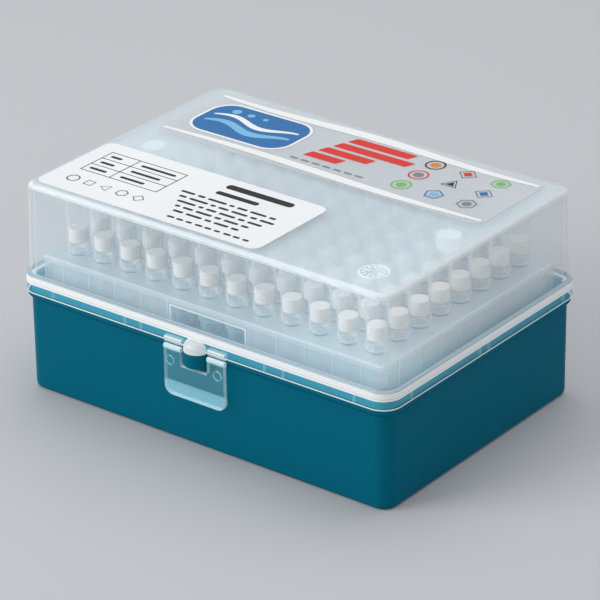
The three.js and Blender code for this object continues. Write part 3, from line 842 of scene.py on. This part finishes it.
outside, inside = DIAL_RADIUS, DIAL_RADIUS - DIAL_LINE
ring = turned([(outside, -SINK), (outside, DIAL_RELIEF), (inside, DIAL_RELIEF), (inside, -SINK)], DIAL_SIDES)
set_down(bm, ring, (*DIAL, roof))
for i in range(DIAL_TICKS):
    before = set(bm.verts)
    length = TICK_LENGTH * (2 if i % 3 == 0 else 1)
    low = Vector((inside - TICK_GAP - length, -DIAL_LINE / 2, -SINK))
    solid_box(bm, low, low + Vector((length, DIAL_LINE, SINK + DIAL_RELIEF)))
    tick = newer_verts(bm, before)
    bmesh.ops.rotate(bm, verts=tick, matrix=Matrix.Rotation(2 * math.pi * i / DIAL_TICKS, 3, "Z"))
    bmesh.ops.translate(bm, verts=tick, vec=(*DIAL, roof))

COVER_HEIGHT = 3.15 * MM
COVER_BACK = 0.2
COVER_FULLNESS = 3  # 2 would give half a ball
COVER_SIDES = 32
BELOW = -0.01  # what counts as the lower half of a ball of radius 1

before = set(bm.verts)
bmesh.ops.create_uvsphere(bm, u_segments=COVER_SIDES, v_segments=COVER_SIDES // 2, radius=1)
dome = newer_verts(bm, before)
upper = [vert for vert in dome if vert.co.z >= BELOW]
lower = [vert for vert in dome if vert.co.z < BELOW]
for vert in dome:
    level = (1 - min(1, vert.co.z ** 2)) ** (COVER_FULLNESS / 2)
    vert.co.z = math.copysign(max(0, 1 - level) ** (1 / COVER_FULLNESS), vert.co.z)
    vert.co.x *= KNOB_HALF_WIDTH
    vert.co.y *= KNOB_REACH * (COVER_BACK if vert.co.y > 0 else 1)
    vert.co.z *= COVER_HEIGHT
bmesh.ops.translate(bm, verts=dome, vec=(0, -half_width, flange_bottom))
rim = [
    edge for edge in edges_between(upper)
    if any(vert in lower for face in edge.link_faces for vert in face.verts)
]
bmesh.ops.delete(bm, geom=lower, context="VERTS")
bmesh.ops.contextual_create(bm, geom=rim)
older = newer_faces(bm, older, RAISED)

LUG_HEIGHT = 1.9 * MM
LUG_DEPTH = 1.1 * MM
NOTCH = 8.6 * MM

latch_width = latch_high.x - latch_low.x
bead = LUG_HEIGHT / 2
bead_section = (
    [(-half_width + SKIRT / 2, flange_bottom), (-half_width + SKIRT / 2, flange_bottom + LUG_HEIGHT)]
    + arc((bead - half_width - LUG_DEPTH, flange_bottom + bead), bead, 90, 270, 12)
)
for side in (-1, 1):
    bar_along_x(bm, bead_section, side * (latch_width + NOTCH) / 4, (latch_width - NOTCH) / 2, HINGE_EDGE)
newer_faces(bm, older, THICK)

bore = PIN + CLEARANCE
mouth = PIN / 2
bore_gap = math.degrees(math.asin(mouth / bore))
knuckle_gap = math.degrees(math.asin(mouth / KNUCKLE))
clip_section = (
    [(half_width - SKIRT / 2, flange_bottom), (hinge_y - KNUCKLE, hinge_z)]
    + arc((hinge_y, hinge_z), KNUCKLE, 190, 270 - knuckle_gap, 6)
    + arc((hinge_y, hinge_z), bore, 270 - bore_gap, bore_gap - 90, 20)
    + arc((hinge_y, hinge_z), KNUCKLE, knuckle_gap - 90, 90, 12)
    + [(half_width - SKIRT / 2, flange_top - FLANGE_EDGE)]
)
for x in (-HINGE_X, HINGE_X):
    bar_along_x(bm, clip_section, x, CLIP_WIDTH, HINGE_EDGE / 2)

LID_HAZE = (0.74, 0.85, 0.91, 1)
LID_WHITE = (0.97, 0.98, 0.97, 1)
THICK_HAZE = (0.86, 0.94, 0.96, 1)
SHOULDER_PAINTED_REFLECTION = (0.4, 0.52, 0.59, 1)  # painted reflection: the shoulder is painted with the grey of the rack that it mirrors
FLANGE_PAINTED_TEAL = (0.3, 0.8, 0.95, 1)  # painted teal light: the clear flange is tinted with the colour of the tray that shows through it
# painted highlights on the flange's face: a white line at its bottom edge and a white band, with a darker
# gap in the band
BOTTOM_HIGHLIGHT = (29.12 * MM, 29.6 * MM)
HIGHLIGHT_BAND_LOW = 31.75 * MM
HIGHLIGHT_GAP = (32.3 * MM, 32.55 * MM)
HIGHLIGHT_BAND_HIGH = 34 * MM
CEILING_HIGHLIGHT = 0.2 * MM
OUTWARD_GAIN = 1000

clear_plastic, tree, shader = new_material("clear polypropylene")
add_grain(tree, shader, 700, 0.14, 0.24, 0.05)

# 1 on the walls' outer faces and 0 on their inner ones, whichever side they are seen from
place = tree.nodes.new("ShaderNodeTexCoord")
outwards = tree.nodes.new("ShaderNodeVectorMath")
outwards.operation = "MULTIPLY"
tree.links.new(place.outputs["Object"], outwards.inputs[0])
tree.links.new(place.outputs["Normal"], outwards.inputs[1])
parts = tree.nodes.new("ShaderNodeSeparateXYZ")
tree.links.new(outwards.outputs[0], parts.inputs[0])
level = calculate(tree, "ADD", parts.outputs["X"], parts.outputs["Y"])
outward = calculate(tree, "MULTIPLY", level, OUTWARD_GAIN, clamp=True)
behind = tree.nodes.new("ShaderNodeNewGeometry").outputs["Backfacing"]
outward = calculate(tree, "ABSOLUTE", calculate(tree, "SUBTRACT", outward, behind))


def lid_band(low, high, soft=SOFT):
    """A mask over a band of heights on the lid's outer faces."""
    return calculate(tree, "MULTIPLY", band_mask(tree, low, high, soft), outward)


edges = place_group(tree, painted_highlight_masks)
inner_fillet = band_mask(tree, ceiling - LID_INNER_EDGE - SINK, ceiling - CRISP, CRISP)
skirt_zone = band_mask(tree, flange_bottom - MM, flange_top + LID_FOOT + 0.5 * MM)
plain = calculate(tree, "SUBTRACT", calculate(tree, "SUBTRACT", 1, inner_fillet), skirt_zone, clamp=True)
seen_inside = calculate(tree, "SUBTRACT", 1, outward)
# painted highlights: white on rounded edges and upright corners, and a line where the inner fillet meets the
# ceiling; the flange's inner faces are cleared
lit = [
    (calculate(tree, "MULTIPLY", edges["Rim"], plain), 0.5),
    (calculate(tree, "MULTIPLY", edges["Corner"], plain), 0.15),
    (band_mask(tree, ceiling - CRISP, ceiling + CEILING_HIGHLIGHT, CRISP), 0.3),
    (calculate(tree, "MULTIPLY", band_mask(tree, -1, skirt_ceiling + SINK), seen_inside), -1),
    (lid_band(HIGHLIGHT_BAND_LOW, HIGHLIGHT_BAND_HIGH, 0.12 * MM), 0.95),
    (lid_band(*HIGHLIGHT_GAP), -0.5),
    (lid_band(*BOTTOM_HIGHLIGHT, CRISP), 0.85),
]
# the flange is tinted teal: painted teal light from the tray behind it
haze = mixed_colour(tree, lid_band(flange_bottom, HIGHLIGHT_BAND_LOW), LID_HAZE, FLANGE_PAINTED_TEAL)
# the lid's ends, the faces turned along X, are painted whiter: painted light
painted_end_light = calculate(tree, "MULTIPLY", calculate(tree, "MULTIPLY", edges["Sideways"], plain), 0.6)
haze = mixed_colour(tree, painted_end_light, haze, LID_WHITE)
# the shoulder is painted grey and made more solid: a painted reflection of the rack
shoulder_reflection = band_mask(tree, HIGHLIGHT_BAND_HIGH - SINK, flange_top + LID_FOOT + SINK)
shoulder_reflection = calculate(tree, "MULTIPLY", shoulder_reflection, calculate(tree, "MAXIMUM", edges["Upward"], outward))
haze = mixed_colour(tree, shoulder_reflection, haze, SHOULDER_PAINTED_REFLECTION)
roof_haze = calculate(tree, "MULTIPLY", band_mask(tree, ceiling, roof + SINK), 0.16)
straight = calculate(tree, "MULTIPLY_ADD", shoulder_reflection, 0.8, roof_haze)
straight = calculate(tree, "ADD", straight, 0.15)
add_haze(tree, shader, haze, LID_WHITE, straight, 0.6, lit, shade=0.05)

thick_plastic, tree, shader = new_material("clear polypropylene, thick")
add_grain(tree, shader, 700, 0.1, 0.18, 0.05)
# Rim paints highlights on the rounded edges of the snap ribs and beads
edges = place_group(tree, painted_highlight_masks)
add_haze(tree, shader, THICK_HAZE, LID_WHITE, 0.22, 0.7, [(edges["Rim"], 0.6)], shade=0.05)

# the posts, the dial and the dome are a solid milky white, partly a painted highlight for the light that
# these thick parts gather
raised_plastic, tree, shader = new_material("clear polypropylene, solid parts")
add_grain(tree, shader, 700, 0.1, 0.18, 0.05)
add_haze(tree, shader, LID_WHITE, LID_WHITE, 0.55, 0.4, [], shade=0.05)
finishes = [clear_plastic, thick_plastic, raised_plastic]
finished(bm, "clear_lid", finishes, "lid_body", ["lid"])

# ---- Latch ----
# A clear tab with a notch for the knob, a thicker grip at its foot, beads at its hinge, and
# the two round marks that the ejector pins of its mould leave.

LATCH_THICKNESS = 1.45 * MM
LATCH_CORNER = 2.6 * MM
LATCH_EDGE = 0.45 * MM
NOTCH_CORNER = 0.4 * MM
NOTCH_DROP = 1.1 * MM
GRIP_HEIGHT = 3.9 * MM
GRIP_EXTRA = 0.1 * MM

latch_y, latch_z = hinges["latch_hinge"][1:]
notch_bottom = ledge_top - KNOB_HEIGHT - NOTCH_DROP
half = latch_width / 2
front = latch_y - LATCH_THICKNESS / 2
bm = bmesh.new()
outline = (
    (-half, latch_z), (-half, latch_low.z), (half, latch_low.z), (half, latch_z),
    (NOTCH / 2, latch_z), (NOTCH / 2, notch_bottom), (-NOTCH / 2, notch_bottom), (-NOTCH / 2, latch_z),
)
verts = [bm.verts.new((x, front, z)) for x, z in outline]
bm.faces.new(verts)
round_corners(bm, verts[1:3], LATCH_CORNER)
round_corners(bm, verts[5:7], NOTCH_CORNER)
near = list(bm.verts)
far = thicken(bm, list(bm.faces), (0, LATCH_THICKNESS, 0))
round_edges(bm, edges_between(near) + edges_between(far), LATCH_EDGE)
grip_high = latch_low.z + GRIP_HEIGHT
grip = [bm.verts.new(place) for place in (
    (-half, latch_y, grip_high), (-half, latch_y, latch_low.z),
    (half, latch_y, latch_low.z), (half, latch_y, grip_high),
)]
bm.faces.new(grip)
rounded = round_corners(bm, grip[1:3], LATCH_CORNER)
grip_face = max(rounded[0].link_faces, key=lambda face: len(face.verts))
near = list(grip_face.verts)
far = thicken(bm, [grip_face], (0, LATCH_THICKNESS / 2 + GRIP_EXTRA, 0))
round_edges(bm, edges_between(near) + edges_between(far), LATCH_EDGE)
for side in (-1, 1):
    bead_x = side * (half + NOTCH / 2) / 2
    section = circle((latch_y, latch_z), LATCH_THICKNESS / 2)
    bar_along_x(bm, section, bead_x, half - NOTCH / 2, HINGE_EDGE)

EJECTOR_MARKS = (7.85 * MM, 24.5 * MM)
EJECTOR_RADIUS = 1.4 * MM
EJECTOR_SIDES = 32
EJECTOR_SINK = 0.9 * LIP

outside, inside = EJECTOR_RADIUS, EJECTOR_RADIUS - LIP
mark = turned([(outside, 0), (outside, LIP), (inside, LIP), (inside, 0)], EJECTOR_SIDES)
mark.transform(Matrix.Rotation(math.pi / 2, 4, "X"))
for side in (-1, 1):
    set_down(bm, mark, (side * EJECTOR_MARKS[0], front + EJECTOR_SINK, EJECTOR_MARKS[1]))

# the latch's haze is tinted teal: painted teal light from the tray and knob behind it
LATCH_PAINTED_TEAL = (0.3, 0.78, 0.9, 1)
LATCH_WHITE = (0.95, 0.98, 0.98, 1)

clear_latch, tree, shader = new_material("clear latch polypropylene")
add_grain(tree, shader, 700, 0.14, 0.24, 0.05)
grip = band_mask(tree, -1, grip_high, 0.2 * MM)
grip_top = band_mask(tree, grip_high - LATCH_EDGE, grip_high + SINK, CRISP)
edges = place_group(tree, painted_highlight_masks)
level_highlights = calculate(tree, "MULTIPLY", edges["Upward"], calculate(tree, "SUBTRACT", 1, grip_top))
bead = band_mask(tree, latch_z - LATCH_THICKNESS / 2, latch_high.z + SINK)
# painted highlights: white on the side faces, on the faces turned up or down and on the band of the beads;
# the thicker grip is milkier
lit = [(edges["Sideways"], 0.7), (level_highlights, 0.8), (grip, 0.16), (bead, 0.2)]
add_haze(tree, shader, LATCH_PAINTED_TEAL, LATCH_WHITE, 0.1, 0.3, lit, shade=0.1)
finished(bm, "clear_latch", [clear_latch], "latch_body", ["latch"])

# ---- Label ----
# A glossy white paper sticker with rounded corners, printed in black with a plain form: two
# heading bars, lines of dashes, a small table and a row of simple shapes.

SHEET = 0.17 * MM
INK = 0.02 * MM
LABEL_CORNER = 2.8 * MM
PAPER_WHITE = (0.93, 0.94, 0.95, 1)
PAPER_SHADE = (0.88, 0.9, 0.92, 1)


def thin_sheet(low, high, corner):
    """A sheet with rounded corners that lies on the roof."""
    bm = bmesh.new()
    rounded_plate(bm, low, high, corner, low.z + INK)
    thicken(bm, list(bm.faces), (0, 0, SHEET - INK))
    return bm


label_low, label_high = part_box("label")
bm = thin_sheet(label_low, label_high, LABEL_CORNER)

label_paper, tree, shader = new_material("white label paper")
grain = add_grain(tree, shader, 1800, 0.35, 0.45, 0.1)
tree.links.new(mixed_colour(tree, grain["Patches"], PAPER_SHADE, PAPER_WHITE), shader.inputs["Base Color"])
finished(bm, "label_paper", [label_paper], "lid_body", ["label"])

ROUND_ENDS = 0.45  # the radius of a bar's corners, as a share of its width


def print_faces(bm, faces, ink=0):
    """Raises flat faces into a film of one of the piece's inks."""
    for vert in thicken(bm, faces, (0, 0, INK)):
        for face in vert.link_faces:
            face.material_index = ink


def print_bar(bm, place, length, width, ink=0, corner=None):
    """A bar from its lower left corner, with rounded ends unless a corner's radius is given."""
    low = Vector(place)
    high = low + Vector((length, width, 0))
    corner = min(length, width) * ROUND_ENDS if corner is None else corner
    print_faces(bm, [rounded_plate(bm, low, high, corner, low.z)], ink)


def print_disc(bm, place, radius, sides=40, ink=0, line=0.0, turn=0.0):
    """A disc or a polygon, or only its outline where a line's width is given."""
    matrix = Matrix.Translation(place) @ Matrix.Rotation(math.radians(turn), 4, "Z")
    verts = bmesh.ops.create_circle(bm, cap_ends=True, segments=sides, radius=radius, matrix=matrix)["verts"]
    faces = list(verts[0].link_faces)
    if line:
        ring = bmesh.ops.inset_individual(bm, faces=faces, thickness=line)["faces"]
        bmesh.ops.delete(bm, geom=faces, context="FACES_ONLY")
        faces = ring
    print_faces(bm, faces, ink)


def printing_ink(name, colour):
    """A glossy ink with faint unevenness."""
    material, tree, shader = new_material(name)
    grain = add_grain(tree, shader, 1500, 0.3, 0.45, 0.1)
    shader.inputs["Specular IOR Level"].default_value = 0.2
    paler = tuple(0.98 * part + 0.02 for part in colour[:3]) + (1,)
    tree.links.new(mixed_colour(tree, grain["Patches"], colour, paler), shader.inputs["Base Color"])
    return material


sheet_top = label_low.z + SHEET
bm = bmesh.new()


def on_label(x, y):
    """A place in millimetres from the label's lower left corner."""
    return (label_low.x + x * MM, label_low.y + y * MM, sheet_top)


def label_bar(x, y, length, width):
    print_bar(bm, on_label(x, y), length * MM, width * MM)


HEADINGS = ((44, 25.4, 22, 2.6), (44, 21.2, 14, 1.9))  # (x, y, length, width) of each bar
DASHES = (4.6, 2.4, 6.1, 1.6, 3.3, 5.2, 2.1)
DASH_LEFT, DASH_RIGHT, DASH_TOP = 36, 69.5, 17
DASH_LINES = 5
DASH_WIDTH = 1
LINE_STEP = 2.7
LINE_INDENT = 1.5

for heading in HEADINGS:
    label_bar(*heading)
for line in range(DASH_LINES):
    x, i = DASH_LEFT + LINE_INDENT * line, line
    while x + DASHES[i % len(DASHES)] < DASH_RIGHT:
        length = DASHES[i % len(DASHES)]
        label_bar(x, DASH_TOP - LINE_STEP * line, length, DASH_WIDTH)
        x += length + DASH_WIDTH
        i += 1

TABLE = (5, 12.6, 26, 13.2)  # x, y, length and width
TABLE_ROWS = 3
TABLE_LINE = 0.3
TABLE_SPLIT = 0.38  # the first column's share of the length
ENTRIES = ((1.6, 5.8, -1), (12.2, 8.2, 1.8))  # x, the first row's length and what each row adds
ENTRY_RISE = 0.38  # in rows
ENTRY_WIDTH = 1.1

left, low, length, width = TABLE
row_step = width / TABLE_ROWS
for row in range(TABLE_ROWS + 1):
    label_bar(left, low + row * row_step, length + TABLE_LINE, TABLE_LINE)
for x in (left, left + TABLE_SPLIT * length, left + length):
    label_bar(x, low, TABLE_LINE, width + TABLE_LINE)
for row in range(TABLE_ROWS):
    for x, entry, added in ENTRIES:
        label_bar(left + x, low + (row + ENTRY_RISE) * row_step, entry + added * row, ENTRY_WIDTH)

SHAPES = ((40, 0), (4, 45), (3, 90), (6, 0), (4, 0))  # the sides and turn of each
SHAPE_PLACE = (7.6, 7)
SHAPE_STEP = 5.6
SHAPE_RADIUS = 1.9 * MM
SHAPE_LINE = 0.35 * MM
ROW_PLACE = (43, 2.6)
ROW_BARS = (2.4, 2.2, 2) * 3
ROW_STEP = 3.1
ROW_WIDTH = 0.9

for i, (sides, turn) in enumerate(SHAPES):
    place = on_label(SHAPE_PLACE[0] + SHAPE_STEP * i, SHAPE_PLACE[1])
    print_disc(bm, place, SHAPE_RADIUS, sides, line=SHAPE_LINE, turn=turn)
for i, length in enumerate(ROW_BARS):
    label_bar(ROW_PLACE[0] + ROW_STEP * i, ROW_PLACE[1], length, ROW_WIDTH)

black_ink = printing_ink("black ink", (0.012, 0.013, 0.015, 1))
finished(bm, "label_print", [black_ink], "lid_body")

# ---- Film ----
# A grey see-through film stuck on the roof, printed with white ribbons, red slanted bars, a
# blue panel with a wave, and nine small shapes in several inks.

FILM_CORNER = 3.2 * MM
FILM_GREY = (0.82, 0.85, 0.87, 1)
FILM_SHADE = (0.76, 0.79, 0.82, 1)

film_low, film_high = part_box("printed_film")
bm = thin_sheet(film_low, film_high, FILM_CORNER)

grey_film, tree, shader = new_material("grey film")
grain = add_grain(tree, shader, 900, 0.12, 0.22, 0.06)
tree.links.new(mixed_colour(tree, grain["Patches"], FILM_SHADE, FILM_GREY), shader.inputs["Base Color"])
shader.inputs["Alpha"].default_value = 0.48
finished(bm, "film", [grey_film], "lid_body", ["printed_film"])

WHITE, RED, BLUE, PALE_BLUE, GREY, BLACK, ORANGE, GREEN = range(8)
INKS = (
    ("white ink", (0.9, 0.91, 0.92, 1)),
    ("red ink", (0.72, 0.03, 0.02, 1)),
    ("blue ink", (0.02, 0.16, 0.42, 1)),
    ("pale blue ink", (0.2, 0.5, 0.75, 1)),
    ("grey ink", (0.22, 0.24, 0.26, 1)),
    ("dark ink", (0.02, 0.02, 0.025, 1)),
    ("orange ink", (0.8, 0.22, 0.03, 1)),
    ("green ink", (0.2, 0.5, 0.12, 1)),
)
LAYER_STEP = 0.2
RIBBON_STEPS = 48

sheet_top = film_low.z + SHEET
bm = bmesh.new()


def on_film(x, y, layer=0):
    """A place in millimetres from the film's lower left corner, in one of its layers of ink."""
    return (film_low.x + x * MM, film_low.y + y * MM, sheet_top + layer * INK * LAYER_STEP)


def print_ribbon(place, length, width, rise, waves, ink):
    """A wavy strip that swells in the middle, along X."""
    verts = bmesh.ops.create_grid(bm, x_segments=RIBBON_STEPS, y_segments=1, size=0.5)["verts"]
    faces = list({face for vert in verts for face in vert.link_faces})
    for vert in verts:
        along = vert.co.x + 0.5
        swell = 0.35 + 0.65 * math.sin(math.pi * along)
        vert.co.y = vert.co.y * width * swell + rise * math.sin(2 * math.pi * waves * along)
        vert.co.x = along * length
    bmesh.ops.translate(bm, verts=verts, vec=place)
    print_faces(bm, faces, ink)


RIBBONS = (  # x, y, layer, length, width, rise, number of waves and ink
    (1.2, 2.6, 0, 105.8, 3, 0.7, 1, WHITE), (1.2, 29.2, 0, 105.8, 3.4, -0.6, 1.5, WHITE),
    (7, 13.4, 2, 28, 3, 1.6, 1.25, PALE_BLUE), (7, 17.8, 2, 28, 2.2, 1.6, 1.25, WHITE),
)
PANELS = (  # x, y, layer, length, width, corner and ink
    (4, 6, 0, 34, 20.6, 7, WHITE), (4.8, 6.8, 1, 32.4, 19, 6.2, BLUE),
)
BUBBLES = ((11.5, 1.4), (16.5, 1.1), (21.5, 0.8))  # x and radius
BUBBLE_Y = 22.2

for x, y, layer, length, width, rise, waves, ink in RIBBONS:
    print_ribbon(on_film(x, y, layer), length * MM, width * MM, rise * MM, waves, ink)
for x, y, layer, length, width, corner, ink in PANELS:
    print_bar(bm, on_film(x, y, layer), length * MM, width * MM, ink, corner * MM)
for x, radius in BUBBLES:
    print_disc(bm, on_film(x, BUBBLE_Y, 2), radius * MM, ink=PALE_BLUE)

RED_BARS = (20, 24, 16, 11)  # their lengths
RED_PLACE = (40.5, 23.4)
RED_STEP = 4.6
RED_WIDTH = 3.3 * MM
RED_CORNER = 0.4 * MM
RED_SLANT = 0.35
GREY_BAR = (2.6 * MM, 0.8 * MM)
GREY_BARS = 7
GREY_PLACE = (42, 6.2)
GREY_STEP = 3.6

for i, length in enumerate(RED_BARS):
    before = set(bm.verts)
    place = on_film(RED_PLACE[0], RED_PLACE[1] - RED_STEP * i)
    print_bar(bm, place, length * MM, RED_WIDTH, RED, corner=RED_CORNER)
    for vert in newer_verts(bm, before):
        vert.co.x += (vert.co.y - film_low.y) * RED_SLANT
for i in range(GREY_BARS):
    print_bar(bm, on_film(GREY_PLACE[0] + GREY_STEP * i, GREY_PLACE[1]), *GREY_BAR, GREY)

ICON_PLACE = (77, 24.6)
ICON_STEPS = (10.5, 7.8)
ICON_COLUMNS = 3
ICON_RADIUS, ICON_LINE, MIDDLE_RADIUS = 2.9 * MM, 0.5 * MM, 1.5 * MM
ICONS = (  # each one's outline, number of sides and middle
    (BLACK, 40, ORANGE), (GREY, 4, RED), (GREEN, 6, GREEN),
    (RED, 40, GREY), (BLACK, 3, BLACK), (GREY, 4, BLUE),
    (GREEN, 40, GREEN), (BLUE, 5, PALE_BLUE), (GREY, 6, GREY),
)
for i, (outline_ink, sides, middle_ink) in enumerate(ICONS):
    row, column = divmod(i, ICON_COLUMNS)
    place = on_film(ICON_PLACE[0] + ICON_STEPS[0] * column, ICON_PLACE[1] - ICON_STEPS[1] * row)
    print_disc(bm, place, ICON_RADIUS, sides, outline_ink, line=ICON_LINE)
    print_disc(bm, place, MIDDLE_RADIUS, sides, middle_ink)

inks = [printing_ink(name, colour) for name, colour in INKS]
finished(bm, "film_print", inks, "lid_body")
